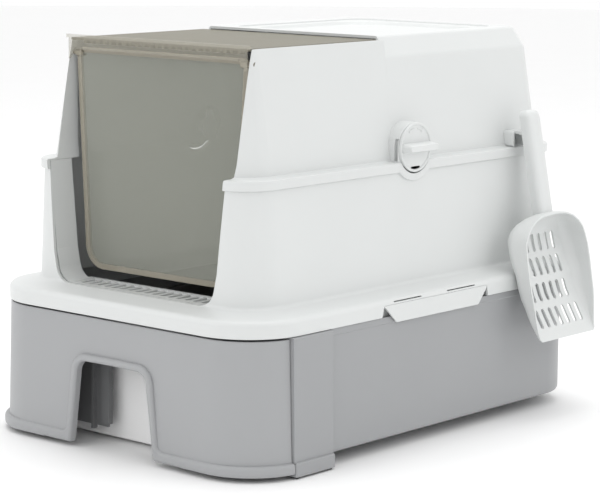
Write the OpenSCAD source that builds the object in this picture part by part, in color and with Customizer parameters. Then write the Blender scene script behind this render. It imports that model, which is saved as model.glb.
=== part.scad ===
// Hooded cat litter box: drawer base, two-part hood, top lid, swing door and scoop.
// X runs across the width, Y from the front (-Y) to the back (+Y), Z up from the floor.

/* [Base] */
// half the width of the rolled bead at the foot of the drawer front
foot_hw = 211; // [180:1:240]
// half the width of the side walls behind the front legs
wall_hw = 202; // [170:1:230]
// distance from the front bead to the back of the hood's rim
depth = 600; // [480:1:700]
// plan radius of the base's corners
base_r = 70; // [30:1:90]
// height of the underside of the side walls
belly_z = 14; // [8:1:30]
// height of the top of the base
base_top_z = 148.5; // [120:0.5:180]
// wall thickness of the mouldings
wall = 3; // [2:0.1:4]

/* [Hood] */
// half the width of the lower hood's rim
rim_hw = 205; // [175:1:235]
// underside of the rim
rim_z = 149; // [121:0.5:181]
// foot of the lower hood's wall
sill_z = 173; // [160:0.5:190]
// underside of the flange where the hood splits
split_z = 296.5; // [260:0.5:330]
// height where the lower hood's top edge begins
collar_z = 292; // [285:0.5:294]
// top of the front part's side walls
top_z = 440; // [400:1:480]
// top of the fixed roof
roof_z = 444; // [402:1:484]
// half the width of the hood at the top
top_hw = 136; // [120:1:160]
// half the width of the hood just above the flange
mid_hw = 155; // [140:1:175]

/* [Moving parts] */
// centre height of the lock knobs
knob_z = 322.6; // [310:0.1:340]
// radius of the lock knobs
knob_r = 27.4; // [22:0.1:32]
// height of the front door's hinge pins
door_pin_z = 424; // [415:0.5:430]
// height of the top lid's hinge pins
lid_pin_z = 434; // [430:0.5:438]
// gap between a hinge pin and its hole
run_gap = 0.06; // [0.02:0.01:0.1]

/* [Hidden] */
$fn = 48;
yf = -depth / 2;
yb = depth / 2;
yc = yf + 302;
knob_y = yf + 309;
door_y = yf + 79.5;
lid_y = yf + 276;
scoop_y = yf + 505;
eps = 0.01;

// plan outline with its own front and back corner radii, y measured from the front bead
module plan(hw, y0, y1, rf, rb) {
  translate([-hw, yf + y0 + rf]) square([2 * hw, y1 - y0 - rf - rb]);
  translate([-hw + rf, yf + y0]) square([2 * (hw - rf), rf + 1]);
  translate([-hw + rb, yf + y1 - rb - 1]) square([2 * (hw - rb), rb + 1]);
  for (s = [-1, 1]) {
    translate([s * (hw - rf), yf + y0 + rf]) circle(r = rf);
    translate([s * (hw - rb), yf + y1 - rb]) circle(r = rb);
  }
}

module slab(hw, y0, y1, rf, rb, z, h) {
  translate([0, 0, z]) linear_extrude(height = h) plan(hw, y0, y1, rf, rb);
}

// tapered block between two outlines given as [half width, front, back, front r, back r, z]
module loft(a, b) {
  hull() {
    slab(a[0], a[1], a[2], a[3], a[4], a[5], eps);
    slab(b[0], b[1], b[2], b[3], b[4], b[5] - eps, eps);
  }
}

// box from low corner to high corner, y from the front bead
module blk(x0, x1, y0, y1, z0, z1) {
  translate([x0, yf + y0, z0]) cube([x1 - x0, y1 - y0, z1 - z0]);
}

// cylinder along X
module xcyl(r, x0, x1, y, z) {
  translate([x0, y, z]) rotate([0, 90, 0]) cylinder(r = r, h = x1 - x0);
}

// ---------- base ----------

module base_frame() {
  color([0.66, 0.67, 0.68]) {
    difference() {
      union() {
        difference() {
          slab(wall_hw, 60, 594, 4, base_r, belly_z, base_top_z - belly_z);
          slab(wall_hw - wall, 50, 594 - wall, 4, base_r - wall, belly_z - 1, base_top_z);
        }
        // stiffened top edge
        difference() {
          slab(wall_hw + 0.9, 62, 594.9, 4, base_r + 0.9, 141.5, base_top_z - 141.5);
          slab(wall_hw - wall, 50, 594 - wall, 4, base_r - wall, 140, 20);
        }
        // runner ledge
        difference() {
          slab(wall_hw - 1, 66, 593, 4, base_r - 1, belly_z, wall);
          slab(wall_hw - 18, 50, 576, 4, base_r - 18, belly_z - 1, wall + 2);
        }
        // floor slats
        blk(-190, 190, 520, 560, belly_z, belly_z + wall);
        blk(-190, 190, 260, 300, belly_z, belly_z + wall);
        for (s = [-1, 1]) {
          translate([s * 115, yf + 540, 2]) cylinder(r = 14, h = belly_z + 1 - 2);
        }
      }
      // the side walls start behind the front legs
      blk(-260, 260, 0, 125.5, -1, 200);
    }
  }
}

module front_leg(s) {
  color([0.67, 0.675, 0.68])
    scale([s, 1, 1])
      difference() {
        union() {
          hull() {
            blk(188, 209, 64, 125.5, 2, 4);
            blk(188, 207, 64, 125.5, base_top_z - 2, base_top_z);
          }
          blk(186, 211.9, 63.5, 125.5, 2, 17);
        }
        // open to the drawer side so the tray runs past
        blk(150, 204.5, 67, 122.5, 17, base_top_z - 8);
        blk(150, 195, 60, 130, 17, 200);
      }
}
module front_leg_left() { front_leg(-1); }
module front_leg_right() { front_leg(1); }

module front_cross_bar() {
  color([0.66, 0.67, 0.68])
    difference() {
      blk(-195, 195, 64, 72, 130, base_top_z);
      blk(-192, 192, 66.5, 73, 129, base_top_z - 2.5);
    }
}

module foot_pads() {
  color([0.2, 0.2, 0.21]) {
    for (s = [-1, 1]) {
      translate([s * 115, yf + 540, 0]) cylinder(r = 11, h = 2);
      for (y = [66.5, 118]) blk(s * 200 - 9, s * 200 + 9, y, y + 5, 0, 2);
    }
  }
}

// ---------- drawer ----------

// outline of the finger arch, grown by g
module arch2d(g) {
  polygon([
    [-68 - g, -20], [-61 - g, 19], [-52 - g, 82], [-47.5 - g * 0.9, 91 + g * 0.5],
    [-35, 97.5 + g], [0, 98 + g], [35, 97.5 + g], [47.5 + g * 0.9, 91 + g * 0.5],
    [52 + g, 82], [61 + g, 19], [68 + g, -20]
  ]);
}

module drawer_front() {
  color([0.69, 0.695, 0.7])
    difference() {
      union() {
        difference() {
          loft([206.8, 3.2, 400, base_r, 20, 5], [202.5, 6, 400, base_r - 4, 20, 146.5]);
          loft([206.8 - wall, 3.2 + wall, 410, base_r - wall, 20, 4],
               [202.5 - wall, 6 + wall, 410, base_r - 4 - wall, 20, 148]);
        }
        // rolled bead along the foot
        difference() {
          slab(foot_hw, 0, 400, base_r, 20, 5, 12);
          slab(foot_hw - 7, 6, 410, base_r - 7, 20, 4, 14);
        }
        // rolled bead round the arch
        difference() {
          intersection() {
            translate([0, yf + 12, 0]) rotate([90, 0, 0]) linear_extrude(height = 11.6) arch2d(8.5);
            blk(-90, 90, 0, 12, 5, 120);
          }
          translate([0, yf + 20, 0]) rotate([90, 0, 0]) linear_extrude(height = 40) arch2d(0);
        }
        // inner cross rib
        blk(-128, 128, 5, 8, 112, 124);
      }
      translate([0, yf + 20, 0]) rotate([90, 0, 0]) linear_extrude(height = 40) arch2d(0);
      blk(-260, 260, 62, 500, -10, 200);
    }
}

module bin_brackets() {
  color([0.24, 0.245, 0.25]) {
    for (s = [-1, 1]) scale([s, 1, 1]) {
      blk(44, 148, 41, 43.5, 18, 112);
      blk(40, 52, 38, 44, 22, 112);
      blk(62, 66, 36, 42, 14.5, 112);
      blk(144, 150, 10.6, 41, 22, 112);
      blk(60, 140, 43.5, 54.5, 104, 108);
    }
  }
}

// runners that join the drawer front to the pan
module tray_arms() {
  color([0.62, 0.625, 0.63])
    intersection() {
      for (s = [-1, 1]) scale([s, 1, 1]) blk(160, 190, 9, 552, 17.2, 20.2);
      slab(197, 8.4, 580, 63, 60, 10, 120);
    }
}

module tray_cross_bars() {
  color([0.62, 0.625, 0.63]) {
    blk(-160, 160, 121, 126, 17.2, 20.2);
    blk(-160, 160, 420, 450, 17.2, 20.2);
    blk(-160, 160, 526, 552, 17.2, 20.2);
  }
}

module litter_pan() {
  color([0.45, 0.455, 0.45])
    difference() {
      union() {
        loft([176, 130, 576, 26, 52, 20.3], [185, 128, 584, 30, 58, 124]);
        slab(191, 127, 589, 32, 62, 121, 5);
      }
      loft([176 - 2.5, 132.5, 573.5, 24, 49.5, 22.8], [185 - 2.5, 130.5, 581.5, 28, 55.5, 127]);
    }
}

module catch_bin() {
  color([0.87, 0.87, 0.87])
    difference() {
      slab(153, 56, 119, 10, 10, 3, 109);
      slab(153 - 2.2, 58.2, 116.8, 8, 8, 5.2, 110);
    }
}

// ---------- lower hood ----------

module latch_gap() {
  for (s = [-1, 1]) scale([s, 1, 1]) {
    blk(200.5, 210, 208, 401, 140, 160.2);
    translate([204.2, yf + 208, 160.2]) rotate([-90, 0, 0]) cylinder(r = 2.1, h = 193);
  }
}

module hood_outside() {
  slab(rim_hw, 3, 600, 72, 72, rim_z, 13);
  loft([rim_hw, 3, 600, 72, 72, rim_z + 13], [rim_hw - 6, 9, 594, 66, 66, 168]);
  loft([rim_hw - 6, 9, 594, 66, 66, 168], [173, 35, 589, 48, 40, sill_z]);
  loft([173, 35, 589, 48, 40, sill_z], [165, 38, 584, 42, 34, split_z - 0.3]);
  slab(163.5, 39.5, 582.5, 41, 33, split_z - 0.4, 9.4);
}

module hood_inside() {
  loft([rim_hw - 3, 6, 597, 69, 69, rim_z - 1], [rim_hw - 9, 12, 591, 63, 63, 165.2]);
  loft([rim_hw - 9, 12, 591, 63, 63, 165.1], [170.2, 38, 586, 45, 37, sill_z - 2.5]);
  loft([170.2, 38, 586, 45, 37, sill_z - 2.6], [162, 41, 581, 39, 31, split_z]);
  slab(160.8, 42, 580, 38, 30, split_z - 0.1, 20);
}

module entrance_cut() {
  translate([0, yf + 90, 0]) rotate([90, 0, 0]) linear_extrude(height = 100) intersection() {
    entry2d(0);
    translate([-200, sill_z + eps]) square([400, 200]);
  }
}

module lower_hood() {
  color([0.88, 0.885, 0.88])
    difference() {
      union() {
        difference() {
          hood_outside();
          hood_inside();
        }
        // rib that centres the hood inside the base
        difference() {
          slab(197.5, 128, 589.5, 2, 65.5, 143, 23.5);
          slab(195.5, 126, 587.5, 2, 63.5, 142, 26);
          blk(-250, 250, 120, 128.1, 140, 170);
        }
        // step behind the sill
        blk(-112, 112, 40, 82, sill_z - 3, sill_z);
      }
      entrance_cut();
      // window that holds the grate
      blk(-102, 102, 46, 78, sill_z - 10, sill_z + 5);
      latch_gap();
      // slits above the snap tab
      for (s = [-1, 1]) scale([s, 1, 1]) {
        blk(198, 208, 232, 282, 164, 165.6);
        blk(198, 208, 327, 377, 164, 165.6);
      }
      blk(-300, 300, -50, 700, collar_z, 400);
      blk(-300, 300, -50, 84, sill_z + eps, 400);
    }
}

// front corners of the lower hood, either side of the entrance
module entry_surround() {
  color([0.88, 0.885, 0.88])
    intersection() {
      difference() {
        hood_outside();
        hood_inside();
        entrance_cut();
      }
      blk(-300, 300, -50, 84, sill_z + eps, collar_z);
    }
}

// top edge of the lower hood, which the upper hood sits over
module hood_collar() {
  color([0.88, 0.885, 0.88])
    difference() {
      hood_outside();
      hood_inside();
      entrance_cut();
      blk(-300, 300, -50, 700, 100, collar_z);
      // gap under each lock knob
      for (s = [-1, 1]) scale([s, 1, 1]) blk(150, 200, 278, 340, 200, 400);
    }
}

module entry_jambs() {
  color([0.88, 0.885, 0.88])
    intersection() {
      difference() {
        translate([0, yf + 72, 0]) rotate([90, 0, 0]) linear_extrude(height = 34) entry2d(2.6);
        translate([0, yf + 90, 0]) rotate([90, 0, 0]) linear_extrude(height = 80) entry2d(0);
      }
      loft([170.2, 38, 586, 45, 37, sill_z - 2.6], [162, 41, 581, 39, 31, split_z]);
      blk(-200, 200, 0, 100, sill_z, split_z - 1);
    }
}

// outline of the entrance, grown by g
module entry2d(g) {
  polygon([
    [-98 - g * 0.5, sill_z - g], [-108 - g, 178 - g * 0.7], [-116 - g, 187], [-122 - g, 202],
    [-124 - g, 216], [-131.5 - g, split_z], [-133.5 - g, 312], [-134 - g, 330],
    [-134 - g, 460], [134 + g, 460], [134 + g, 330], [133.5 + g, 312],
    [131.5 + g, split_z], [124 + g, 216], [122 + g, 202], [116 + g, 187],
    [108 + g, 178 - g * 0.7], [98 + g * 0.5, sill_z - g]
  ]);
}

module entry_grate() {
  color([0.86, 0.86, 0.85])
    difference() {
      union() {
        blk(-101.7, 101.7, 46.3, 77.7, sill_z - 4, sill_z - 0.4);
        blk(-101.7, 101.7, 46.3, 48.3, sill_z - 8, sill_z - 0.4);
        blk(-101.7, 101.7, 75.7, 77.7, sill_z - 8, sill_z - 0.4);
      }
      for (i = [0:15]) blk(-97 + i * 12.2, -97 + i * 12.2 + 7.2, 50, 74, sill_z - 10, sill_z + 2);
    }
}

module side_latch(s) {
  color([0.9, 0.905, 0.9])
    scale([s, 1, 1]) {
      translate([204.2, yf + 214, 160.2]) rotate([-90, 0, 0]) cylinder(r = 1.6, h = 181);
      hull() {
        blk(203.3, 205.8, 216, 393, 156, 159.4);
        blk(204, 206, 235, 377, 141.7, 142.7);
      }
      blk(203.3, 205.8, 214, 395, 156, 160.2);
    }
}
module side_latch_left() { side_latch(-1); }
module side_latch_right() { side_latch(1); }

// ---------- upper hood ----------

function hw_at(z) = mid_hw - (z - 307.5) * (mid_hw - top_hw) / 132.5;

// arched pad behind a lock knob, grown by g, reaching out to x1
module pad(g, x0, x1) {
  xcyl(28 + g, x0, x1, knob_y, knob_z);
  translate([x0, knob_y - 28 - g, 300]) cube([x1 - x0, 56 + 2 * g, knob_z - 300]);
}

module upper_hood() {
  color([0.885, 0.89, 0.885])
    difference() {
      union() {
        // flange, with the lobe and the pocket of each knob
        difference() {
          union() {
            slab(168, 34.3, 586, 44, 36, split_z, 11);
            for (s = [-1, 1]) scale([s, 1, 1]) {
              intersection() {
                xcyl(36.6, 166.2, 168, knob_y, knob_z);
                blk(150, 200, 0, 600, 280, 307.5);
              }
            }
          }
          for (s = [-1, 1]) scale([s, 1, 1]) {
            xcyl(knob_r + 1.6, 160.4, 190, knob_y, knob_z);
          }
        }
        // front part, straight up to the lid
        intersection() {
          loft([mid_hw, 47, 574, 40, 26, 307], [top_hw, 70, 560, 14, 16, top_z]);
          blk(-200, 200, 0, 290, 300, 460);
        }
        // back part with its chamfered shoulders
        intersection() {
          union() {
            loft([mid_hw, 47, 574, 40, 26, 307], [139, 66.7, 561, 16, 16, 421]);
            loft([139, 66.7, 561, 16, 16, 421], [126, 80, 550, 8, 10, roof_z]);
          }
          blk(-200, 200, 286, 700, 300, 460);
        }
        for (s = [-1, 1]) scale([s, 1, 1]) {
          intersection() {
            pad(0, 120, 166);
            blk(0, 200, 0, 600, 303, 400);
          }
        }
      }
      // inside, leaving the jambs of the entrance
      difference() {
       union() {
      intersection() {
        loft([mid_hw - 3, 50, 571, 37, 23, 306.9], [top_hw - 4.7, 75, 555.7, 10, 12, top_z + 12]);
        blk(-200, 200, 0, 288, 300, 460);
      }
      difference() {
        union() {
          loft([mid_hw - 3, 50, 571, 37, 23, 306.9], [136, 69.7, 558, 13, 13, 421]);
          loft([136, 69.7, 558, 13, 13, 420.9], [124.6, 83, 547.5, 8, 8, 441]);
        }
        blk(-200, 200, 0, 287.5, 300, 460);
        // underside of the dish
        slab(100, 312, 532, 50, 50, 434, 20);
      }
      slab(164.2, 38.5, 583.2, 41.5, 33.5, split_z - 1, 10.6);
      slab(mid_hw - 3, 50, 571, 37, 23, 305, 3);
       }
        difference() {
          translate([0, yf + 84, 0]) rotate([90, 0, 0]) linear_extrude(height = 50) entry2d(2.6);
          blk(-200, 200, 0, 100, 200, 306.1);
        }
      }
      // dish in the roof
      slab(97, 315, 529, 47, 47, 438, 20);
      // front opening
      translate([0, yf + 84, 0]) rotate([90, 0, 0]) linear_extrude(height = 90) entry2d(0);
      blk(-133, 133, 0, 287.5, 400, 470);
      for (s = [-1, 1]) scale([s, 1, 1]) {
        // hollow of the pad
        pad(-3, 110, 157);
      }
      // shaft holes
      xcyl(7 + run_gap, 140, 175, knob_y, knob_z);
      xcyl(7 + run_gap, -175, -140, knob_y, knob_z);
      // hinge pin holes
      for (s = [-1, 1]) scale([s, 1, 1]) {
        xcyl(3 + run_gap, 125, 137, door_y, door_pin_z);
        xcyl(2.5 + run_gap, 125, 136, lid_y, lid_pin_z);
      }
    }
}

module scoop_hook() {
  color([0.87, 0.875, 0.87])
    difference() {
      union() {
        blk(148, 167, 494, 519, 308, 326);
        blk(160, 181, 498.5, 514.5, 322, 326);
        blk(178, 181, 498.5, 514.5, 322, 338);
      }
      // the back follows the hood's wall
      hull() {
        blk(100, 155.1, 480, 530, 307, 307.5);
        blk(100, 152.2, 480, 530, 327, 328);
      }
      blk(154, 170, 497, 516, 300, 322);
    }
}

// ---------- lock knobs ----------

module lock_knob(s) {
  color([0.84, 0.845, 0.84])
    scale([s, 1, 1])
      difference() {
        union() {
          xcyl(knob_r, 166.2, 169.6, knob_y, knob_z);
          xcyl(7, 146, 166.4, knob_y, knob_z);
          intersection() {
            xcyl(knob_r - 1.5, 166.3, 190, knob_y, knob_z);
            hull() {
              translate([166.4, knob_y - 30, knob_z - 5.5]) cube([3, 60, 11]);
              translate([180, knob_y - 30, knob_z - 3.4]) cube([2, 60, 6.8]);
            }
          }
        }
        // slot in the rim of the disc
        translate([150, knob_y, knob_z]) rotate([0, 90, 0]) rotate([0, 0, -13])
          rotate_extrude(angle = 26) translate([22.2, 0]) square([1.9, 40]);
      }
}
module lock_knob_left() { lock_knob(-1); }
module lock_knob_right() { lock_knob(1); }

module knob_cam(s) {
  color([0.8, 0.8, 0.8])
    scale([s, 1, 1]) {
      xcyl(13, 142.6, 146, knob_y, knob_z);
      translate([142.6, knob_y - 5, knob_z]) cube([3.4, 10, 20]);
    }
}
module knob_cam_left() { knob_cam(-1); }
module knob_cam_right() { knob_cam(1); }

// ---------- top lid ----------

module top_lid() {
  color([0.55, 0.53, 0.48, 0.6])
    union() {
      blk(-131.5, 131.5, 72, 281, 437.8, 440.4);
      // stiffening ribs under the front edge
      for (i = [0:23]) blk(-116 + i * 10, -116 + i * 10 + 5, 76, 84, 434.4, 437.8);
      // hinge eyes
      for (s = [-1, 1]) scale([s, 1, 1]) {
        hull() {
          xcyl(4.4, 126, 131.5, lid_y, lid_pin_z);
          blk(126, 131.5, 268, 280.8, 437.8, 439);
        }
      }
    }
}

module lid_front_lip() {
  color([0.6, 0.58, 0.53, 0.6])
    union() {
      blk(-132.5, 132.5, 69, 71.9, 428, 444);
      blk(-136.2, 136.2, 69, 73, 440.4, 444);
      for (s = [-1, 1]) scale([s, 1, 1]) {
        translate([0, yf + 71.9, 0]) rotate([90, 0, 0]) linear_extrude(height = 2.9)
          polygon([[132.5, 430], [122, 430], [131, 419], [132, 417], [132.5, 417]]);
        blk(129.6, 132.5, 69, 71.95, 430, 444);
      }
    }
}

module lid_hinge_pins() {
  color([0.6, 0.6, 0.6])
    for (s = [-1, 1]) scale([s, 1, 1])
      xcyl(2.5, 131.5, 135.6, lid_y, lid_pin_z);
}

// ---------- front door ----------

function door_hw(z) = 116 + (z - 200) * 12.4 / 228;

module door2d(g) {
  polygon([
    [-88 - g, 184 - g], [-100 - g * 0.9, 186.5 - g * 0.8], [-109 - g, 193.5 - g * 0.3],
    [-114 - g, 203], [-116.5 - g, 214], [-door_hw(419) - g, 419],
    [-door_hw(419) + 5 - g, 427 + g * 0.8], [-door_hw(419) + 14, 430.5 + g],
    [door_hw(419) - 14, 430.5 + g], [door_hw(419) - 5 + g, 427 + g * 0.8],
    [door_hw(419) + g, 419], [116.5 + g, 214], [114 + g, 203],
    [109 + g, 193.5 - g * 0.3], [100 + g * 0.9, 186.5 - g * 0.8], [88 + g, 184 - g]
  ]);
}

module front_door() {
  color([0.55, 0.55, 0.5, 0.55])
    translate([0, door_y + 1.3, 0]) rotate([90, 0, 0]) linear_extrude(height = 2.6) door2d(-6.5);
}

module door_frame() {
  color([0.6, 0.59, 0.54, 0.7])
    difference() {
      union() {
        translate([0, door_y + 1.8, 0]) rotate([90, 0, 0]) linear_extrude(height = 3.6)
          difference() {
            door2d(0);
            door2d(-6.5);
          }
        for (s = [-1, 1]) scale([s, 1, 1])
          xcyl(4.6, 119, 128.6, door_y, door_pin_z);
      }
      for (s = [-1, 1]) scale([s, 1, 1])
        xcyl(3, 118, 129, door_y, door_pin_z);
    }
}

module door_pins() {
  color([0.75, 0.74, 0.7])
    for (s = [-1, 1]) scale([s, 1, 1])
      xcyl(3, 118.1, 136.4, door_y, door_pin_z);
}

// ---------- scoop ----------

// one level of the bowl: back x, rim x, half width, height
module level(xb, xr, w, r, z) {
  hull() {
    for (s = [-1, 1]) {
      translate([xb + r, scoop_y + s * (w - r), z]) cylinder(r = r, h = eps);
      translate([xr - 1, scoop_y + s * w - (s > 0 ? 1 : 0), z]) cube([1, 1, eps]);
    }
  }
}

// outer levels of the bowl: back x, rim x, half width, corner r, height
LEVELS = [
  [209, 220, 18, 7, 234.5], [194.5, 222, 49, 12, 221.5], [190.5, 223.5, 60, 14, 205],
  [198.5, 228.5, 62.7, 14, 179], [206.4, 231.5, 62.6, 13, 162], [213, 236, 61.6, 12, 140],
  [226.8, 239.2, 59.2, 6, 116], [241.5, 243.8, 54, 1.5, 92]
];

module bowl(t) {
  for (i = [0:6]) hull() {
    level(LEVELS[i][0] + t, LEVELS[i][1] + t, LEVELS[i][2] - t, max(LEVELS[i][3] - t, 1), LEVELS[i][4] - (i == 0 ? t : 0));
    level(LEVELS[i + 1][0] + t, LEVELS[i + 1][1] + t, LEVELS[i + 1][2] - t, max(LEVELS[i + 1][3] - t, 1), LEVELS[i + 1][4]);
  }
}

module scoop_bowl() {
  color([0.8, 0.805, 0.8])
    difference() {
      bowl(0);
      bowl(2.3);
      // keeps the lip end open
      translate([244, scoop_y - 51, 80]) cube([20, 102, 14]);
      // four rows of slots
      for (k = [0:3]) for (i = [-3:3])
        if (k > 2 || i < 3)
          translate([170, scoop_y + (i + (k > 2 ? 0 : 0.5)) * 13.2 - 3.2, [187, 160.5, 132.5, 105][k]]) cube([80, 6.4, 20.5]);
    }
}

module scoop_handle() {
  color([0.87, 0.88, 0.87])
    difference() {
      translate([174.4, scoop_y, 350]) rotate([0, -13, 0]) translate([0, 0, -126])
        difference() {
          union() {
            translate([0, -12.5, 0]) cube([14, 25, 117]);
            translate([0, -7.5, 0]) cube([14, 15, 126]);
            for (s = [-1, 1]) translate([0, s * 4.5, 117]) rotate([0, 90, 0]) cylinder(r = 8, h = 14);
          }
          // channel open towards the hood
          translate([-1, -10.3, -1]) cube([12.4, 20.6, 115]);
        }
      // nothing reaches into the bowl
      translate([150, scoop_y - 30, 150]) cube([100, 60, 72]);
      bowl(0);
    }
  color([0.87, 0.88, 0.87])
    translate([174.4, scoop_y, 350]) rotate([0, -13, 0]) translate([1, -10.4, -9.6]) cube([11, 20.8, 2.4]);
}

base_frame();
front_leg_left();
front_leg_right();
front_cross_bar();
foot_pads();
drawer_front();
bin_brackets();
tray_arms();
tray_cross_bars();
litter_pan();
catch_bin();
lower_hood();
entry_surround();
hood_collar();
entry_jambs();
entry_grate();
side_latch_left();
side_latch_right();
upper_hood();
scoop_hook();
lock_knob_left();
lock_knob_right();
knob_cam_left();
knob_cam_right();
top_lid();
lid_front_lip();
lid_hinge_pins();
front_door();
door_frame();
door_pins();
scoop_bowl();
scoop_handle();
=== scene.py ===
import math

import bmesh
import bpy
from mathutils import Matrix, Vector


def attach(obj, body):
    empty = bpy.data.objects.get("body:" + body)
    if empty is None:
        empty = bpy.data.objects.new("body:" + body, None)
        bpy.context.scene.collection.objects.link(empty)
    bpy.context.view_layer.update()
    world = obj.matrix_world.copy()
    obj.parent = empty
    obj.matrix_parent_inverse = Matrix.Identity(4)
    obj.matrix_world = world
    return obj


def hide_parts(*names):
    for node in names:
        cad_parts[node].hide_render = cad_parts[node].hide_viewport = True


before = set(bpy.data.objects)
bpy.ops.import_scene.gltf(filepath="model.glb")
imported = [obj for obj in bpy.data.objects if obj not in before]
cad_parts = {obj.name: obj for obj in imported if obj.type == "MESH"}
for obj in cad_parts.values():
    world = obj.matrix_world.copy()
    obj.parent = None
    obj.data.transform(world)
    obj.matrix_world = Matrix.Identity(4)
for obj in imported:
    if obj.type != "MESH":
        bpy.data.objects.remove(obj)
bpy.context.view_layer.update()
sc = bpy.context.scene
MM = 0.001            # helper meshes are drawn in millimetres
YF = -300.0           # the front bead's place on the row's Y axis, in mm
KY, KZ = 309.0, 322.6  # axis of the lock knobs
DOOR_Y, DOOR_Z = 79.5, 424.0  # axis of the door's hinge pins
LID_Y, LID_Z = 276.0, 434.0   # axis of the lid's hinge pins
SCOOP_Y = 505.0       # middle of the scoop
SIDES = (-1, 1)

# ------------------------------------------------------------------ mesh helpers (mm, y from the front bead)


def make(name, verts, faces):
    me = bpy.data.meshes.new(name)
    me.from_pydata([(x * MM, (y + YF) * MM, z * MM) for x, y, z in verts], [], faces)
    bm = bmesh.new()
    bm.from_mesh(me)
    bmesh.ops.recalc_face_normals(bm, faces=bm.faces)
    bm.to_mesh(me)
    bm.free()
    o = bpy.data.objects.new(name, me)
    sc.collection.objects.link(o)
    return o


def box(x0, x1, y0, y1, z0, z1, name="box"):
    v = [(x, y, z) for x in (x0, x1) for y in (y0, y1) for z in (z0, z1)]
    return make(name, v, [(0, 1, 3, 2), (4, 6, 7, 5), (0, 4, 5, 1), (2, 3, 7, 6), (0, 2, 6, 4), (1, 5, 7, 3)])


def plan(hw, y0, y1, rf, rb, n=14):
    """Rounded outline seen from above: half width, front, back, front and back corner radius."""
    pts = []
    for cx, cy, r, a0 in ((hw - rf, y0 + rf, rf, -90), (hw - rb, y1 - rb, rb, 0),
                          (-hw + rb, y1 - rb, rb, 90), (-hw + rf, y0 + rf, rf, 180)):
        for i in range(n + 1):
            t = math.radians(a0 + 90 * i / n)
            pts.append((cx + r * math.cos(t), cy + r * math.sin(t)))
    return pts


def sweep(prof, n=14, closed=True, name="sweep"):
    """A body from a list of (half width, front, back, front r, back r, z), each one a rounded outline."""
    rings = [[(x, y, p[5]) for x, y in plan(*p[:5], n)] for p in prof]
    return bridge(rings, closed, name)


def bridge(rings, closed=False, name="bridge"):
    m, k = len(rings[0]), len(rings)
    verts = [v for r in rings for v in r]
    faces = []
    for i in range(k if closed else k - 1):
        j = (i + 1) % k
        for a in range(m):
            b = (a + 1) % m
            faces.append((i * m + a, i * m + b, j * m + b, j * m + a))
    if not closed:
        faces.append(tuple(reversed(range(m))))
        faces.append(tuple(range((k - 1) * m, k * m)))
    return make(name, verts, faces)


def prism(pts, a, b, axis, name="prism"):
    """pts in the two other axes: yz for x, xz for y, xy for z."""
    put = {"x": lambda p, q: (q, p[0], p[1]),
           "y": lambda p, q: (p[0], q, p[1]),
           "z": lambda p, q: (p[0], p[1], q)}[axis]
    return bridge([[put(p, a) for p in pts], [put(p, b) for p in pts]], False, name)


def fillet(pts, radii, n=6):
    """Polygon with rounded corners."""
    out = []
    k = len(pts)
    for i in range(k):
        r = radii[i] if isinstance(radii, (list, tuple)) else radii
        p = Vector(pts[i])
        if r <= 0:
            out.append(tuple(p))
            continue
        a = (Vector(pts[i - 1]) - p).normalized()
        b = (Vector(pts[(i + 1) % k]) - p).normalized()
        ang = a.angle(b)
        if ang > 3.12:
            out.append(tuple(p))
            continue
        t = r / math.tan(ang / 2)
        c = p + (a + b).normalized() * (r / math.sin(ang / 2))
        s, e = p + a * t - c, p + b * t - c
        a0, a1 = math.atan2(s.y, s.x), math.atan2(e.y, e.x)
        d = (a1 - a0 + math.pi) % (2 * math.pi) - math.pi
        for j in range(n + 1):
            q = a0 + d * j / n
            out.append((c.x + r * math.cos(q), c.y + r * math.sin(q)))
    return out


def circle(cy, cz, r, n=64, a0=0.0, a1=360.0):
    full = abs(a1 - a0) >= 360
    return [(cy + r * math.cos(math.radians(a0 + (a1 - a0) * i / n)),
             cz + r * math.sin(math.radians(a0 + (a1 - a0) * i / n))) for i in range(n if full else n + 1)]


def side_range(s, a, b):
    """The X range a to b on side s, low end first."""
    return min(s * a, s * b), max(s * a, s * b)


def disc(cy, cz, prof, side=1, n=72, name="disc"):
    """Solid of revolution about X: prof is a list of (radius, x)."""
    return bridge([[(side * x, y, z) for y, z in circle(cy, cz, r, n)] for r, x in prof], False, name)


def evaluated(o):
    dg = bpy.context.evaluated_depsgraph_get()
    me = bpy.data.meshes.new_from_object(o.evaluated_get(dg))
    o.modifiers.clear()
    o.data = me
    return o


def combine(o, others, op="DIFFERENCE"):
    for c in others:
        m = o.modifiers.new("b", "BOOLEAN")
        m.operation = op
        m.solver = "EXACT"
        m.object = c
    bpy.context.view_layer.update()
    evaluated(o)
    for c in others:
        bpy.data.objects.remove(c)
    bm = bmesh.new()
    bm.from_mesh(o.data)
    bmesh.ops.remove_doubles(bm, verts=bm.verts, dist=1e-6)
    bmesh.ops.dissolve_degenerate(bm, edges=bm.edges, dist=1e-6)
    bm.to_mesh(o.data)
    bm.free()
    return o


def cut(o, *others):
    return combine(o, others, "DIFFERENCE")


def add(o, *others):
    return combine(o, others, "UNION")


def keep(o, *others):
    return combine(o, others, "INTERSECT")


def join(objs, name):
    """Several closed bodies as one mesh, without a boolean."""
    bm = bmesh.new()
    for o in objs:
        bm.from_mesh(o.data)
    me = bpy.data.meshes.new(name)
    bm.to_mesh(me)
    bm.free()
    for o in objs:
        bpy.data.objects.remove(o)
    n = bpy.data.objects.new(name, me)
    sc.collection.objects.link(n)
    return n


def soften(o, width, segs=2, angle=35):
    if width > 0:
        b = o.modifiers.new("edge", "BEVEL")
        b.width = width * MM
        b.segments = segs
        b.limit_method = "ANGLE"
        b.angle_limit = math.radians(angle)
        b.use_clamp_overlap = True
        b.miter_outer = "MITER_ARC"
    for p in o.data.polygons:
        p.use_smooth = True
    w = o.modifiers.new("normals", "WEIGHTED_NORMAL")
    w.keep_sharp = True
    w.weight = 60
    return o


# ------------------------------------------------------------------ materials


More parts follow.
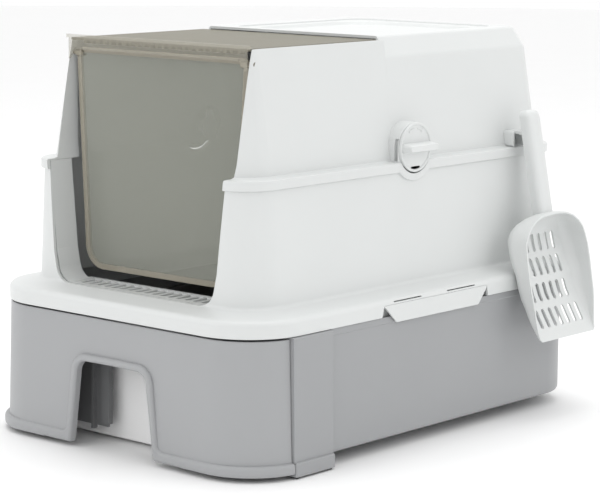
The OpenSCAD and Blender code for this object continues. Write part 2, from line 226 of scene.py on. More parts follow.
FLECK_SCALE, SHEEN_SCALE, GRAIN_SCALE = 9.0, 55.0, 900.0
GRAIN_HEIGHT = 0.001
PLASTIC_IOR = 1.49


def plastic(name, low, high, rough, grain=0.015, specular=0.5, spread=0.04, alpha=None):
    """Moulded plastic: colour between low and high, roughness rough +- spread, and a fine grain."""
    m = bpy.data.materials.new(name)
    m.use_nodes = True
    t = m.node_tree
    t.nodes.clear()
    out = t.nodes.new("ShaderNodeOutputMaterial")
    p = t.nodes.new("ShaderNodeBsdfPrincipled")
    t.links.new(p.outputs["BSDF"], out.inputs["Surface"])
    co = t.nodes.new("ShaderNodeTexCoord")
    n1 = t.nodes.new("ShaderNodeTexNoise")
    n1.inputs["Scale"].default_value = FLECK_SCALE
    n1.inputs["Detail"].default_value = 3.0
    t.links.new(co.outputs["Object"], n1.inputs["Vector"])
    mix = t.nodes.new("ShaderNodeMix")
    mix.data_type = "RGBA"
    mix.inputs["A"].default_value = (*low, 1)
    mix.inputs["B"].default_value = (*high, 1)
    t.links.new(n1.outputs["Fac"], mix.inputs["Factor"])
    t.links.new(mix.outputs["Result"], p.inputs["Base Color"])
    n2 = t.nodes.new("ShaderNodeTexNoise")
    n2.inputs["Scale"].default_value = SHEEN_SCALE
    n2.inputs["Detail"].default_value = 4.0
    t.links.new(co.outputs["Object"], n2.inputs["Vector"])
    mr = t.nodes.new("ShaderNodeMapRange")
    mr.inputs["To Min"].default_value = max(0.02, rough - spread)
    mr.inputs["To Max"].default_value = min(1.0, rough + spread)
    t.links.new(n2.outputs["Fac"], mr.inputs["Value"])
    t.links.new(mr.outputs["Result"], p.inputs["Roughness"])
    if grain > 0:
        n3 = t.nodes.new("ShaderNodeTexNoise")
        n3.inputs["Scale"].default_value = GRAIN_SCALE
        n3.inputs["Detail"].default_value = 2.0
        t.links.new(co.outputs["Object"], n3.inputs["Vector"])
        bump = t.nodes.new("ShaderNodeBump")
        bump.inputs["Strength"].default_value = grain
        bump.inputs["Distance"].default_value = GRAIN_HEIGHT
        t.links.new(n3.outputs["Fac"], bump.inputs["Height"])
        t.links.new(bump.outputs["Normal"], p.inputs["Normal"])
    p.inputs["Specular IOR Level"].default_value = specular
    p.inputs["IOR"].default_value = PLASTIC_IOR
    if alpha is not None:
        p.inputs["Alpha"].default_value = alpha
    return m


# colour low, colour high, roughness, grain and the rest of plastic()'s values
LOOKS = {
    "hood_white": dict(low=(0.655, 0.67, 0.665), high=(0.685, 0.70, 0.695), rough=0.36, grain=0.010),
    "base_grey": dict(low=(0.318, 0.324, 0.332), high=(0.336, 0.342, 0.350), rough=0.42, grain=0.012),
    "drawer_grey": dict(low=(0.348, 0.354, 0.362), high=(0.366, 0.372, 0.380), rough=0.42, grain=0.012),
    # grey pan plastic painted near black: painted shade for the dark inside of the hood and drawer
    "pan_grey": dict(low=(0.10, 0.10, 0.095), high=(0.13, 0.13, 0.122), rough=0.45, grain=0.02),
    # grey darkened with painted shade: the brackets behind the finger arch are coloured for the shadow of the
    # drawer front
    "dark_grey": dict(low=(0.14, 0.143, 0.146), high=(0.165, 0.168, 0.171), rough=0.5, grain=0.02),
    # off-white plastic lifted brighter than the hood's white: painted light on the bin seen in the shade
    # behind the finger arch
    "off_white": dict(low=(0.86, 0.86, 0.86), high=(0.89, 0.89, 0.89), rough=0.5, grain=0.02),
    "knob_white": dict(low=(0.67, 0.685, 0.68), high=(0.70, 0.715, 0.71), rough=0.42, grain=0.010),
    "scoop_white": dict(low=(0.66, 0.675, 0.67), high=(0.69, 0.705, 0.70), rough=0.38, grain=0.010),
    "smoked_clear": dict(low=(0.40, 0.41, 0.355), high=(0.425, 0.435, 0.378), rough=0.16, grain=0.0,
                         specular=0.35, spread=0.02, alpha=0.4),
    # a darker, browner, nearly opaque copy of the door's smoked plastic: painted shade on the lid
    "smoked_lid_painted_shade": dict(low=(0.245, 0.232, 0.188), high=(0.265, 0.252, 0.206), rough=0.35, grain=0.0,
                       specular=0.02, spread=0.02, alpha=0.86),
    "smoked_lip": dict(low=(0.42, 0.40, 0.33), high=(0.45, 0.43, 0.355), rough=0.18, grain=0.0, spread=0.02,
                       alpha=0.3),
    "smoked_edge": dict(low=(0.47, 0.435, 0.35), high=(0.51, 0.475, 0.385), rough=0.2, grain=0.0,
                        spread=0.02, alpha=0.48),
    "pad_rubber": dict(low=(0.02, 0.02, 0.02), high=(0.035, 0.035, 0.035), rough=0.8, grain=0.05),
}
MAT = {name: plastic(name, **look) for name, look in LOOKS.items()}


def wear(o, slot, look=None):
    o.data.materials.clear()
    o.data.materials.append(MAT[look or slot])


def piece(o, name, body, slot, nodes=(), bevel=0.0, segs=2, angle=35, look=None):
    o.name = name
    soften(o, bevel, segs, angle)
    wear(o, slot, look)
    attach(o, body)
    if nodes:
        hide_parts(*nodes)
    return o


# ------------------------------------------------------------------ outlines taken from the CAD

def entry_outline(g, top):
    """Outline of the entrance, grown by g and closed at the height top."""
    left = fillet([(-134 - g, top), (-134 - g, 322), (-123.2 - g, 208), (-116 - g, 173 - g), (0, 173 - g)],
                  [0, 40, 10, 20, 0], 8)[:-1]
    return left + [(-x, z) for x, z in reversed(left)]


def arch_outline(g):
    """Outline of the finger arch, grown by g."""
    left = fillet([(-68 - g, -20.0), (-60.5 - g, 19), (-50.5 - g, 97.6 + g), (0, 98.3 + g)],
                  [0, 60, 13 + g, 0], 8)[:-1]
    return left + [(-x, z) for x, z in reversed(left)]


# ------------------------------------------------------------------ lower hood


def lower_hood():
    prof = [
        (204.2, 3.8, 599.2, 71.2, 71.2, 149.0), (204.8, 3.2, 599.8, 71.8, 71.8, 149.35),
        (205, 3, 600, 72, 72, 150.2),
        (205, 3, 600, 72, 72, 161.5), (204.75, 3.25, 599.75, 71.8, 71.8, 163.2),
        (204.0, 4.0, 599.0, 71, 71, 164.9),
        (202.6, 5.4, 597.6, 69.6, 69.6, 166.4), (200.8, 7.2, 595.8, 67.8, 67.8, 167.5),
        (198.2, 9.8, 593.9, 65.4, 65.2, 168.2),
        (178.6, 29.4, 590.0, 51.8, 44.0, 171.9), (175.6, 32.4, 589.3, 49.7, 41.8, 172.9),
        (173.8, 34.2, 588.9, 48.4, 40.4, 174.4),
        (172.9, 35.1, 588.6, 48, 40, 177.0), (165.0, 38, 584, 42, 34, 296.0),
        (163.6, 39.4, 582.6, 41, 33, 296.6),
        (163.5, 39.5, 582.5, 41, 33, 305.5), (160.9, 42, 580, 38.5, 30.5, 305.5),
        (161.6, 41.4, 580.6, 38.7, 30.7, 290.0),
        (170.2, 38, 586, 45, 37, 170.4), (196, 12, 591, 63, 63, 165.4),
        (201.2, 6.8, 596.2, 68.2, 68.2, 163.5),
        (202, 6, 597, 69, 69, 162.0), (202, 6, 597, 69, 69, 149.2),
    ]
    shell = sweep(prof, 18, True, "lower_hood_shell")
    # reveal round the entrance
    reveal = keep(prism(entry_outline(2.6, 400.0), 40.4, 72.0, "y"), box(-200, 200, 20, 90, 100, 305.9))
    reveal = cut(reveal, prism(entry_outline(0.0, 330.0), 30, 80, "y"))
    step = box(-112, 112, 40, 82, 170, 173)
    rib = sweep([(197.5, 128, 589.5, 2, 65.5, 143), (197.5, 128, 589.5, 2, 65.5, 166.5),
                 (195.5, 126, 587.5, 2, 63.5, 166.5), (195.5, 126, 587.5, 2, 63.5, 143)], 14)
    rib = cut(rib, box(-250, 250, 120, 128.6, 130, 180))
    shell = add(shell, reveal, step, rib)
    cutters = [prism(entry_outline(0.0, 330.0), 20, 90, "y"), box(-102, 102, 46, 78, 160, 173.6)]
    for s in SIDES:
        notch = fillet([(207.0, 140), (212.0, 161.9), (396.4, 161.9), (401.0, 140)], [0, 3, 3, 0], 4)
        cutters.append(prism(notch, *side_range(s, 200.9, 212), "x"))
        for a, b in ((229.5, 277.5), (323.5, 374.5)):
            cutters.append(box(*side_range(s, 199, 210), a, b, 163.6, 165.0))
        cutters.append(disc(KY, KZ, [(29.6, 150), (29.6, 205)], s))
    shell = cut(shell, *cutters)
    piece(shell, "lower_hood_shell", "lower_hood", "hood_white",
          ["lower_hood", "entry_surround", "hood_collar", "entry_jambs"], 0.7, 2, 40)


lower_hood()

# grate in the sill
grate = box(-101.6, 101.6, 46.3, 77.7, 168.6, 172.6)
SLOT_X, SLOT_PITCH, SLOT_WIDTH = -97, 12.2, 7.2
slots = []
for i in range(16):
    a = SLOT_X + i * SLOT_PITCH
    b = a + SLOT_WIDTH
    slots.append(prism(fillet([(a, 50), (b, 50), (b, 74), (a, 74)], 1.2, 3), 160, 180, "z"))
grate = cut(grate, join(slots, "slots"))
piece(grate, "entry_grate_bars", "lower_hood", "hood_white", ["entry_grate"], 0.6, 2)

# ------------------------------------------------------------------ side latches


def latch(s, word):
    prof = [(204.4, 161.7), (202.6, 161.2), (202.5, 158.6), (203.2, 157.2), (203.9, 150), (204.0, 142.2),
            (204.6, 141.5),
            (205.6, 141.5), (206.1, 142.2), (206.1, 157.0), (205.4, 160.6), (205.2, 161.4)]
    body = bridge([[(s * x, y, z) for x, z in prof] for y in (213.0, 395.5)], False)
    trim = prism(fillet([(213.2, 170), (213.2, 159.9), (233.0, 141.3), (379.0, 141.3), (395.2, 159.9),
                         (395.2, 170)],
                        [0, 2, 5, 5, 2, 0], 5), *side_range(s, 195, 215), "x")
    body = keep(body, trim)
    piece(body, "side_latch_tab_" + word, "latch_" + word, "hood_white", ["side_latch_" + word], 0.4, 2)


latch(-1, "left")
latch(1, "right")

# ------------------------------------------------------------------ base


def base():
    prof = [
        (198.5, 60, 590.5, 4, 66.5, 14.0), (200.6, 60, 592.6, 4, 68.6, 14.7),
        (201.7, 60, 593.7, 4, 69.7, 16.6),
        (202, 60, 594, 4, 70, 19.0), (202, 60, 594, 4, 70, 140.6), (202.3, 60, 594.3, 4, 70.3, 141.3),
        (202.9, 60, 594.9, 4, 70.9, 141.9),
        (202.9, 60, 594.9, 4, 70.9, 147.8), (202.4, 60, 594.4, 4, 70.4, 148.5), (199, 60, 591, 4, 67, 148.5),
        (199, 60, 591, 4, 67, 17.0), (184, 60, 576, 4, 52, 17.0), (184, 60, 576, 4, 52, 14.0),
    ]
    w = sweep(prof, 18, True, "base_walls")
    w = cut(w, box(-260, 260, 40, 125.5, -5, 200))
    slats = [box(-186, 186, 520, 560, 14.02, 17.02), box(-186, 186, 260, 300, 14.02, 17.02)]
    feet = []
    for s in SIDES:
        rings = []
        for r, z in ((12.6, 2.0), (14, 3.0), (14, 15.0)):
            turn = [t * math.pi / 24 for t in range(48)]
            rings.append([(s * 115 + r * math.cos(t), 540 + r * math.sin(t), z) for t in turn])
        feet.append(bridge(rings, False))
    w = add(w, *slats, *feet)
    piece(w, "base_walls", "base", "base_grey", ["base_frame"], 0.6, 2, 40)


base()


def leg(s, word):
    # front leg, seen from the front as a tall plate that leans in and rounds over at its top
    pts = fillet([(188, 2), (209, 2), (207, 148.5), (188, 148.5)], [0, 0, 2.5, 0], 5)
    body = bridge([[(s * x, y, z) for x, z in pts] for y in (62.9, 125.4)], False)
    wide = fillet([(186, 62.8), (211.9, 62.8), (211.9, 125.4), (186, 125.4)], [0, 2, 2, 0], 4)
    top = fillet([(186, 63.9), (210.8, 63.9), (210.8, 124.4), (186, 124.4)], [0, 1.5, 1.5, 0], 4)
    foot = bridge([[(s * x, y, z) for x, y in ring] for ring, z in ((wide, 2.0), (wide, 15.8), (top, 17.0))],
                  False)
    body = add(body, foot)
    body = cut(body, box(*side_range(s, 150, 204.4), 67, 122.5, 17, 140.5),
               box(*side_range(s, 150, 195), 60, 130, 17, 200))
    piece(body, "front_leg_" + word + "_moulding", "base", "base_grey", ["front_leg_" + word], 0.9, 3)


leg(-1, "left")
leg(1, "right")

# ------------------------------------------------------------------ drawer


def arch_leg_x(z, g):
    """Half width of the finger arch's leg at height z, grown by g."""
    return 61.0 + g + (19 - z) * 0.1336


def drawer():
    base_r = 70
    prof = [
        (206.9, 3.1, 400, base_r, 20, 5), (206.6, 3.3, 400, base_r, 20, 18),
        (202.5, 6, 400, base_r - 4, 20, 145.6), (201.7, 6.8, 400, base_r - 4.8, 20, 146.5),
        (199.5, 9, 400, base_r - 7, 20, 146.5), (203.8, 6.2, 400, base_r - 3, 20, 5),
    ]
    wall = sweep(prof, 26, True, "drawer_front_panel")
    bead = sweep([
        (208.4, 2.6, 400, base_r - 2.6, 20, 5.0), (210.0, 1.0, 400, base_r - 1, 20, 5.4),
        (210.8, 0.2, 400, base_r - 0.2, 20, 6.6),
        (211, 0, 400, base_r, 20, 9.0), (211, 0, 400, base_r, 20, 12.6),
        (210.7, 0.3, 400, base_r - 0.3, 20, 14.4),
        (209.9, 1.1, 400, base_r - 1.1, 20, 15.8), (208.6, 2.4, 400, base_r - 2.4, 20, 16.8),
        (206.8, 3.4, 400, base_r - 4, 20, 17.1),
        (204.5, 5.6, 400, base_r - 6, 20, 17.1), (204.5, 5.6, 400, base_r - 6, 20, 5.0)], 26, True)
    bead = cut(bead, box(-104, 104, -5, 30, -5, 40))
    # bead that runs along the foot and up round the finger arch, half round in section
    rings = []
    for d, y in ((0, 9.5), (0, 3.6), (0.25, 2.4), (1.2, 1.1), (2.4, 0.35), (3.6, 0.02)):
        go, gi = 8.5 - d, 0.3 + d
        left = fillet([(-104, 17 - d), (-arch_leg_x(17 - d, go), 17 - d), (-50.5 - go, 97.6 + go),
                       (0, 98.3 + go)],
                      [0, 8 + d, 13 + go, 0], 8)
        low = fillet([(0, 98.3 + gi), (-50.5 - gi, 97.6 + gi), (-arch_leg_x(5 + d, gi), 5 + d),
                      (-104, 5 + d)],
                     [0, 13 + gi, 3, 0], 8)
        top = left + [(-x, z) for x, z in reversed(left[:-1])]
        under = [(-x, z) for x, z in reversed(low[1:])] + low
        rings.append([(x, y, z) for x, z in top + under])
    arch = bridge(rings, False, "arch")
    rib = box(-128, 128, 5.6, 9.2, 112, 124)
    back = box(-260, 260, 62, 500, -10, 200)
    wall = add(wall, rib)
    wall = cut(wall, prism(arch_outline(1.5), -20, 40, "y"), back)
    bead = cut(bead, box(-260, 260, 62, 500, -10, 200))
    wall = add(wall, bead, arch)
    piece(wall, "drawer_front_panel", "drawer", "drawer_grey", ["drawer_front"], 0.5, 2, 42)


drawer()


def pan():
    rings = [(172, 134, 572, 22, 48, 20.3), (175, 131, 575, 25, 51, 21.2), (176.4, 129.8, 576.2, 26, 52, 24),
             (184.8, 128.2, 583.8, 30, 58, 121), (190.2, 127.4, 588.4, 31.5, 61.5, 121),
             (191, 127, 589, 32, 62, 122),
             (191, 127, 589, 32, 62, 125), (190, 128, 588, 31, 61, 126), (183.4, 131, 580.8, 28.5, 56, 126),
             (182.3, 131.4, 580, 28, 55, 125),
             (174, 133, 573, 24, 49.5, 26), (172.5, 134.5, 571.5, 22.5, 48, 23.6),
             (169, 138, 568, 20, 45, 22.8)]
    o = sweep(rings, 14, False)
    # the tray wears painted shade: its grey plastic is darkened to the shade it sits in
    piece(o, "litter_pan_tray", "drawer", "pan_grey", ["litter_pan"], 0.0)
    b = sweep([(150, 59, 116, 7, 7, 3), (152.4, 56.6, 118.4, 9.4, 9.4, 4), (153, 56, 119, 10, 10, 6),
               (153, 56, 119, 10, 10, 111),
               (152.4, 56.6, 118.4, 9.4, 9.4, 112), (151.2, 57.8, 117.2, 8.2, 8.2, 112),
               (150.8, 58.2, 116.8, 8, 8, 111.4),
               (150.8, 58.2, 116.8, 8, 8, 7), (149, 60, 115, 7, 7, 5.4)], 8, False)
    # the catch bin's off-white carries painted light
    piece(b, "catch_bin_box", "drawer", "off_white", ["catch_bin"], 0.0)


pan()

# ------------------------------------------------------------------ upper hood

def pad_outline(g):
    left = [(KY - 28 - g, 303)]
    arc = circle(KY, KZ, 28 + g, 36, 180, 0)
    return left + arc + [(KY + 28 + g, 303)]


def upper_hood():
    flange = sweep([(167, 35.3, 585, 43, 35, 296.5), (167.7, 34.6, 585.7, 43.7, 35.7, 296.8),
                    (168, 34.3, 586, 44, 36, 297.6),
                    (168, 34.3, 586, 44, 36, 305.4), (167.6, 34.7, 585.6, 43.6, 35.6, 306.7),
                    (166.4, 35.9, 584.4, 42.4, 34.4, 307.4),
                    (164, 38.3, 582.2, 41, 33, 307.6), (158, 44.2, 576.5, 39.5, 28, 307.8),
                    (154.9, 47.3, 573.9, 39.7, 25.8, 309.2),
                    (154.6, 47.6, 573.6, 39.4, 25.6, 312)], 18, False)
    front = keep(sweep([(155, 47, 574, 40, 26, 307), (136.5, 69.4, 560.4, 14.6, 16.3, 436.5),
                        (136.0, 70, 560, 14, 16, 440.0)], 18, False),
                 box(-200, 200, 0, 290, 300, 460))
    rear = keep(sweep([(155, 47, 574, 40, 26, 307), (139.07, 66.28, 562.26, 18.2, 17.6, 418.5),
                       (138.5, 67.0, 561.6, 17.6, 17.0, 421.4),
                       (137.3, 68.4, 560.2, 16.4, 15.8, 423.6),
                       (127.6, 78.6, 551.2, 9, 11, 441.6), (126.2, 80.0, 550.0, 8.4, 10.4, 443.2),
                       (124.2, 82.0, 548.2, 7, 9, 444.0)], 18, False),
                box(-200, 200, 290, 700, 300, 460))
    pads, lobes, pockets = [], [], []
    for s in SIDES:
        rings = []
        for g, x in ((0.8, 120), (0.2, 158.0), (0, 164.6), (-0.4, 165.5), (-1.2, 166.0)):
            rings.append([(s * x, y, z) for y, z in pad_outline(g)])
        pads.append(bridge(rings, False))
        lobes.append(keep(disc(KY, KZ, [(37.0, 163.5), (37.0, 167.3), (36.3, 168)], s),
                          box(*side_range(s, 150, 200), 240, 380, 280, 307)))
        pockets.append(disc(KY, KZ, [(29.0, 160.4), (29.0, 190)], s))
    flange = cut(add(flange, *lobes), *pockets)
    outer = add(flange, front, rear, *pads)
    inner = add(keep(sweep([(152, 50, 571, 37, 23, 306.9), (131.3, 75, 555.7, 10, 12, 452)], 14, False),
                     box(-200, 200, 0, 288, 300, 470)),
                keep(sweep([(152, 50, 571, 37, 23, 306.9), (136, 69.7, 558, 13, 13, 421),
                            (124.6, 83, 547.5, 8, 8, 441)], 14, False),
                     box(-200, 200, 287.6, 700, 300, 460)))
    inner = add(inner, sweep([(164.2, 38.5, 583.2, 41.5, 33.5, 290),
                              (164.2, 38.5, 583.2, 41.5, 33.5, 306.1)], 14, False),
                sweep([(152, 50, 571, 37, 23, 305), (152, 50, 571, 37, 23, 308)], 14, False))
    inner = cut(inner, sweep([(100, 312, 532, 50, 50, 434), (100, 312, 532, 50, 50, 460)], 12, False))
    # the reveal of the front opening stays
    ring = cut(prism(entry_outline(2.6, 460), 30, 84, "y"), prism(entry_outline(0, 470), 20, 90, "y"),
               box(-200, 200, 0, 100, 150, 306.1))
    inner = cut(inner, ring)
    cutters = [inner, prism(entry_outline(0, 470), -10, 84, "y"), box(-133, 133, 0, 287.5, 400, 470)]
    # dish in the roof, with a stepped and rounded border
    cutters.append(sweep([(96, 316, 528, 46, 46, 438.0), (97.5, 314.5, 529.5, 47.5, 47.5, 438.6),
                          (99, 313, 531, 49, 49, 441.2),
                          (101, 311, 533, 51, 51, 442.2), (106, 306, 538, 20, 20, 442.6),
                          (107, 305, 539, 21, 21, 446)], 14, False))
    for s in SIDES:
        cutters.append(prism(pad_outline(-3), *side_range(s, 110, 157), "x"))
        cutters.append(disc(KY, KZ, [(7.06, 130), (7.06, 200)], s))
        cutters.append(disc(DOOR_Y, DOOR_Z, [(3.06, 120), (3.06, 137)], s, 24))
        cutters.append(disc(LID_Y, LID_Z, [(2.56, 120), (2.56, 136)], s, 24))
        # upright slot beside the knob
        cutters.append(box(*side_range(s, 160.2, 165.2), 276.0, 286.0, 309.0, 333.5))
    for cutter in cutters:
        outer = cut(outer, cutter)
    piece(outer, "upper_hood_shell", "upper_hood", "hood_white", ["upper_hood"], 0.7, 2, 40)


upper_hood()


def hook():
    cheek = prism(fillet([(494, 308), (519, 308), (519, 326), (494, 326)], [3, 3, 3, 3], 4), 148, 167, "x")
    plate = box(160, 181, 498.5, 514.5, 322, 326)
    tongue = box(178, 181, 498.5, 514.5, 322, 338)
    h = add(cheek, plate, tongue)
    wall = bridge([[(100, y, 300), (155.9, y, 300), (151.8, y, 330), (100, y, 330)]
                   for y in (480, 530)], False)
    h = cut(h, wall, box(150, 172, 496.6, 516.4, 300, 322.8))
    piece(h, "scoop_hook_bracket", "upper_hood", "hood_white", ["scoop_hook"], 0.9, 3)


hook()

# ------------------------------------------------------------------ lock knobs


def knob(s, word):
    d = disc(KY, KZ, [(6.9, 146), (6.9, 166.4), (26.9, 166.2), (27.4, 166.7), (27.4, 168.6), (27.1, 169.3),
                      (26.4, 169.6), (25.2, 169.5),
                      (24.5, 168.9), (24.2, 168.2)], s)
    # grip bar across the disc, tapered outwards, with rounded ends
    bars = []
    for x, hz, hy in ((167.0, 5.6, 25.4), (178.0, 4.2, 24.9), (181.2, 3.8, 24.5), (182.0, 3.0, 23.7)):
        end = fillet([(-hy, -hz), (hy, -hz), (hy, hz), (-hy, hz)], [hz * 0.8] * 4, 6)
        bars.append([(s * x, KY + y, KZ + z) for y, z in end])
    d = add(d, bridge(bars, False))
    # curved slot in the face, below the bar
    t = circle(KY, KZ, 24.1, 16, 251, 289) + list(reversed(circle(KY, KZ, 22.2, 16, 251, 289)))
    d = cut(d, prism(t, *side_range(s, 158, 190), "x"))
    # two small arrow marks that stand on the rim
    marks = []
    for a0, a1 in ((62, 82), (98, 118)):
        pts = circle(KY, KZ, 21.6, 8, a0, a1) + list(reversed(circle(KY, KZ, 20.1, 8, a0, a1)))
        marks.append(prism(pts, *side_range(s, 167.2, 168.9), "x"))
        base_a, tip = (a0, a0 - 7) if a0 < 90 else (a1, a1 + 7)
        tri = [(KY + r * math.cos(math.radians(q)), KZ + r * math.sin(math.radians(q)))
               for r, q in ((23.2, base_a), (20.8, tip), (18.6, base_a))]
        marks.append(prism(tri, *side_range(s, 167.2, 168.9), "x"))
    d = add(d, *marks)
    piece(d, "lock_knob_" + word + "_turned", "knob_" + word, "knob_white", ["lock_knob_" + word], 0.5, 2, 40)


knob(-1, "left")
knob(1, "right")

# ------------------------------------------------------------------ top lid


def lid():
    panel = prism(fillet([(-131.5, 72.0), (131.5, 72.0), (131.5, 285), (-131.5, 285)], [0.8, 0.8, 3, 3], 4),
                  437.8, 440.4, "z")
    parts = []
    for i in range(24):
        a = -116 + i * 10
        b = a + 5
        parts.append(prism(fillet([(a, 76), (b, 76), (b, 84), (a, 84)], 1.0, 2), 434.4, 437.9, "z"))
    for s in SIDES:
        eye = [(268, 438.2)] + circle(LID_Y, LID_Z, 4.4, 14, 190, 340) + [(280.8, 438.2)]
        parts.append(prism(eye, *side_range(s, 126, 131.5), "x"))
    panel = add(panel, *parts)
    # the lid wears the darker copy of the smoked plastic, painted shade
    piece(panel, "top_lid_panel", "lid", "smoked_clear", ["top_lid"], 0.4, 2, look="smoked_lid_painted_shade")
    lip = prism([(-136.2, 444), (-136.2, 440.4), (-132.5, 440.4), (-132.5, 417), (-132, 417), (-131, 419),
                 (-122, 430), (-122, 428),
                 (122, 428), (122, 430), (131, 419), (132, 417), (132.5, 417), (132.5, 440.4),
                 (136.2, 440.4), (136.2, 444)], 69, 71.9, "y")
    strip = box(-136.2, 136.2, 69, 73, 440.4, 444)
    lip = add(lip, strip)
    piece(lip, "lid_front_lip_strip", "lid", "smoked_clear", ["lid_front_lip"], 0.4, 2, look="smoked_lip")


lid()

# ------------------------------------------------------------------ front door


def door_outline(g):
    left = fillet([(0, 430.5 + g), (-128.6 - g, 430.5 + g), (-115.0 - g, 184 - g), (0, 184 - g)],
                  [0, 10 + g, 27 + g, 0], 10)[1:-1]
    return left + [(-x, z) for x, z in reversed(left)]


def door():
    panel = prism(door_outline(-6.4), 78.2, 80.8, "y")
    piece(panel, "front_door_panel", "door", "smoked_clear", ["front_door"], 0.0)
    o = bridge([[(x, y, z) for x, z in door_outline(g)]
                for g, y in ((-0.4, 77.7), (0, 78.1), (0, 80.9), (-0.4, 81.3))], False)
    o = cut(o, prism(door_outline(-6.5), 70, 90, "y"))
    bosses = [disc(DOOR_Y, DOOR_Z, [(4.6, 119), (4.6, 128.6)], s, 32) for s in SIDES]
    o = add(o, *bosses)
    o = cut(o, *[disc(DOOR_Y, DOOR_Z, [(3.0, 118), (3.0, 129)], s, 32) for s in SIDES])
    piece(o, "door_frame_rim", "door", "smoked_edge", ["door_frame"], 0.4, 2)


door()

# ------------------------------------------------------------------ scoop

def level(xb, xr, w, r, z, t=0.0):
    """One level of the bowl, open towards +X: a U in plan with rounded back corners."""
    xb, w, r = xb + t, w - t, max(r - t, 0.6)
    xr = xr + (3 if t else 0)
    pts = [(xr, SCOOP_Y - w)]
    for i in range(9):
        a = math.radians(270 - 90 * i / 8)
        pts.append((xb + r + r * math.cos(a), SCOOP_Y - w + r + r * math.sin(a)))
    for i in range(9):
        a = math.radians(180 - 90 * i / 8)
        pts.append((xb + r + r * math.cos(a), SCOOP_Y + w - r + r * math.sin(a)))
    pts.append((xr, SCOOP_Y + w))
    return [(x, y, z) for x, y in pts]


# levels of the bowl, from its back down to its lip: back x, rim x, half width, corner radius, z
LEVELS = [(212, 219.6, 10, 5, 235.2), (207, 220.4, 26, 8, 233.2), (200, 221.2, 38, 10, 228.6),
          (194.3, 222, 49, 12, 221.5),
          (191.2, 222.8, 56, 13, 213.5), (190.5, 223.5, 60, 14, 205), (193.6, 226, 61.9, 14, 193),
          (198.5, 228.5, 62.7, 14, 179),
          (203.9, 230.6, 62.7, 14, 168), (206.4, 231.5, 62.6, 13, 162), (208.9, 233.5, 62.3, 13, 151),
          (213, 236, 61.6, 12, 140),
          (219.5, 237.8, 60.6, 10, 129), (226.8, 239.2, 59.2, 6, 116), (234, 240.9, 57.2, 4, 104),
          (239.6, 242.8, 55.2, 2.4, 95.4),
          (241.4, 243.8, 51.5, 1.4, 92.2)]


def scoop():
    outer = bridge([level(*row) for row in LEVELS], False)
    drop = [2.3, 1.6, 0.6, 0.6, 0.6] + [0] * (len(LEVELS) - 5)
    rings = [level(a, b, c, d, e - low, 2.3) for (a, b, c, d, e), low in zip(LEVELS, drop)]
    inner = bridge(rings, False)
    bowl = cut(outer, inner)
    slots = []
    for k, (lo, hi) in enumerate(((105, 125.5), (132.5, 153), (160.5, 181), (187, 207.5))):
        for i in range(7 if k == 0 else 6):
            y = SCOOP_Y + (i - (3 if k == 0 else 2.5)) * 13.2
            pts = fillet([(y - 3.0, lo), (y + 3.0, lo), (y + 3.0, hi), (y - 3.0, hi)], 2.9, 4)
            slots.append(prism(pts, 170, 250, "x"))
    bowl = cut(bowl, join(slots, "scoop_slots"))
    piece(bowl, "scoop_bowl_shell", "scoop", "scoop_white", ["scoop_bowl"], 0.5, 2, 40)

    # handle in its own frame: x away from the hood, z along it, then leaned out
    top_x, top_z, length, lean = 0.1744, 0.350, 0.126, -11.2   # metres and degrees

    def put(o):
        m = (Matrix.Translation((top_x, (SCOOP_Y + YF) * MM, top_z))
             @ Matrix.Rotation(math.radians(lean), 4, "Y")
             @ Matrix.Translation((0, 0, -length)) @ Matrix.Translation((0, -YF * MM, 0)))
        o.data.transform(m)

    out = fillet([(-12.5, 0), (12.5, 0), (12.5, 126), (-12.5, 126)], [0, 0, 8, 8], 8)
    h = bridge([[(x, y * k, z - d if z > 60 else z) for y, z in out] for x, k, d in
                ((0, 1, 0), (6.5, 1, 0), (9.2, 0.97, 0.4), (11.4, 0.9, 1.3), (13.0, 0.77, 3.0),
                 (13.8, 0.6, 5.2), (14.0, 0.4, 8.0))], False)
    chan = prism(fillet([(-10.3, -1), (10.3, -1), (10.3, 114), (-10.3, 114)], [0, 0, 4, 4], 6), -1, 7.5, "x")
    h = cut(h, chan)
    put(h)
    h = cut(h, box(150, 250, SCOOP_Y - 30, SCOOP_Y + 30, 150, 222),
            bridge([level(*row) for row in LEVELS], False))
    piece(h, "scoop_handle_channel", "scoop", "scoop_white", ["scoop_handle"], 0.7, 2, 40)


scoop()

# ------------------------------------------------------------------ CAD nodes that stay as they are

# material and edge bevel of each, in mm
LEFT = {
    "front_cross_bar": ("base_grey", 0.6), "foot_pads": ("pad_rubber", 0.4),
    # the bin brackets wear the darkened grey, painted shade
    "bin_brackets": ("dark_grey", 0.5),
    "tray_arms": ("drawer_grey", 0.4), "tray_cross_bars": ("drawer_grey", 0.4),
    "knob_cam_left": ("knob_white", 0.4), "knob_cam_right": ("knob_white", 0.4),
    "lid_hinge_pins": ("knob_white", 0.3), "door_pins": ("smoked_edge", 0.3),
}
for n, (s, w) in LEFT.items():
    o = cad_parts[n]
    b = o.modifiers.new("edge", "BEVEL")
    b.width = w * MM
    b.segments = 2
    b.limit_method = "ANGLE"
    b.angle_limit = math.radians(40)
    o.data.materials.clear()
    o.data.materials.append(MAT[s])

# ------------------------------------------------------------------ floor, backdrop, light, camera


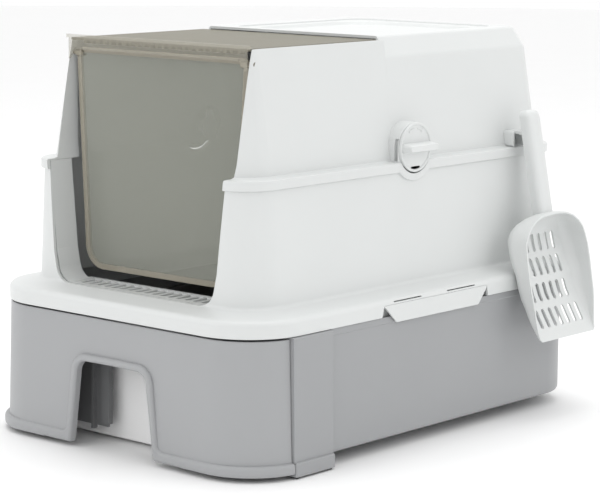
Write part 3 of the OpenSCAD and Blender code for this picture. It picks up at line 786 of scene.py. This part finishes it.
def floor():
    n, radius = 64, 9.0
    turn = [2 * math.pi * i / n for i in range(n)]
    verts = [(0, 0, 0)] + [(radius * math.cos(t), radius * math.sin(t), 0) for t in turn]
    me = bpy.data.meshes.new("floor")
    me.from_pydata(verts, [], [(0, i + 1, (i + 1) % n + 1) for i in range(n)])
    o = bpy.data.objects.new("floor", me)
    o.location = (0, 0, -0.0004)
    sc.collection.objects.link(o)
    o.data.materials.append(plastic("floor_white", (0.95, 0.95, 0.95), (0.97, 0.97, 0.97), 0.6, 0.0,
                                    specular=0.2))


floor()


def area(name, loc, target, size, power):
    lamp = bpy.data.lights.new(name, "AREA")
    lamp.energy = power
    lamp.size = size
    lamp.shape = "RECTANGLE"
    lamp.size_y = size
    o = bpy.data.objects.new(name, lamp)
    o.location = loc
    o.rotation_euler = (Vector(target) - Vector(loc)).to_track_quat("-Z", "Y").to_euler()
    sc.collection.objects.link(o)


area("key", (2.4, 1.2, 2.0), (0, 0, 0.2), 1.4, 7)
area("top", (-0.3, 0.3, 2.4), (0, 0, 0.2), 2.0, 22)
area("front", (-1.0, -2.6, 1.4), (0, 0, 0.2), 1.4, 6)

wd = bpy.data.worlds.new("studio")
sc.world = wd
wd.use_nodes = True
bg = wd.node_tree.nodes["Background"]
bg.inputs["Color"].default_value = (1.0, 1.0, 1.0, 1)
bg.inputs["Strength"].default_value = 1.0

sc.view_settings.view_transform = "Standard"
sc.view_settings.look = "None"
sc.view_settings.exposure = 0.0
sc.view_settings.gamma = 1.0

cam_data = bpy.data.cameras.new("camera")
cam = bpy.data.objects.new("camera", cam_data)
sc.collection.objects.link(cam)
sc.camera = cam
cam_data.sensor_width = 36.0
cam_data.lens = 137.904
cam_data.shift_x = 0.0567
cam_data.shift_y = -0.0033
cam_data.clip_end = 60.0
# the photo's viewpoint: turned from straight ahead, raised, and rolled
az, el, roll = math.radians(41.837), math.radians(8.965), math.radians(0.305)
back = Vector((math.sin(az) * math.cos(el), -math.cos(az) * math.cos(el), math.sin(el)))
right = Vector((math.cos(az), math.sin(az), 0))
up = back.cross(right)
r2 = right * math.cos(roll) + up * math.sin(roll)
u2 = -right * math.sin(roll) + up * math.cos(roll)
aim, distance = Vector((0, -0.05, 0.2)), 2.6236
loc = aim + back * distance
cam.matrix_world = Matrix((
    (r2.x, u2.x, back.x, loc.x), (r2.y, u2.y, back.y, loc.y), (r2.z, u2.z, back.z, loc.z), (0, 0, 0, 1)))
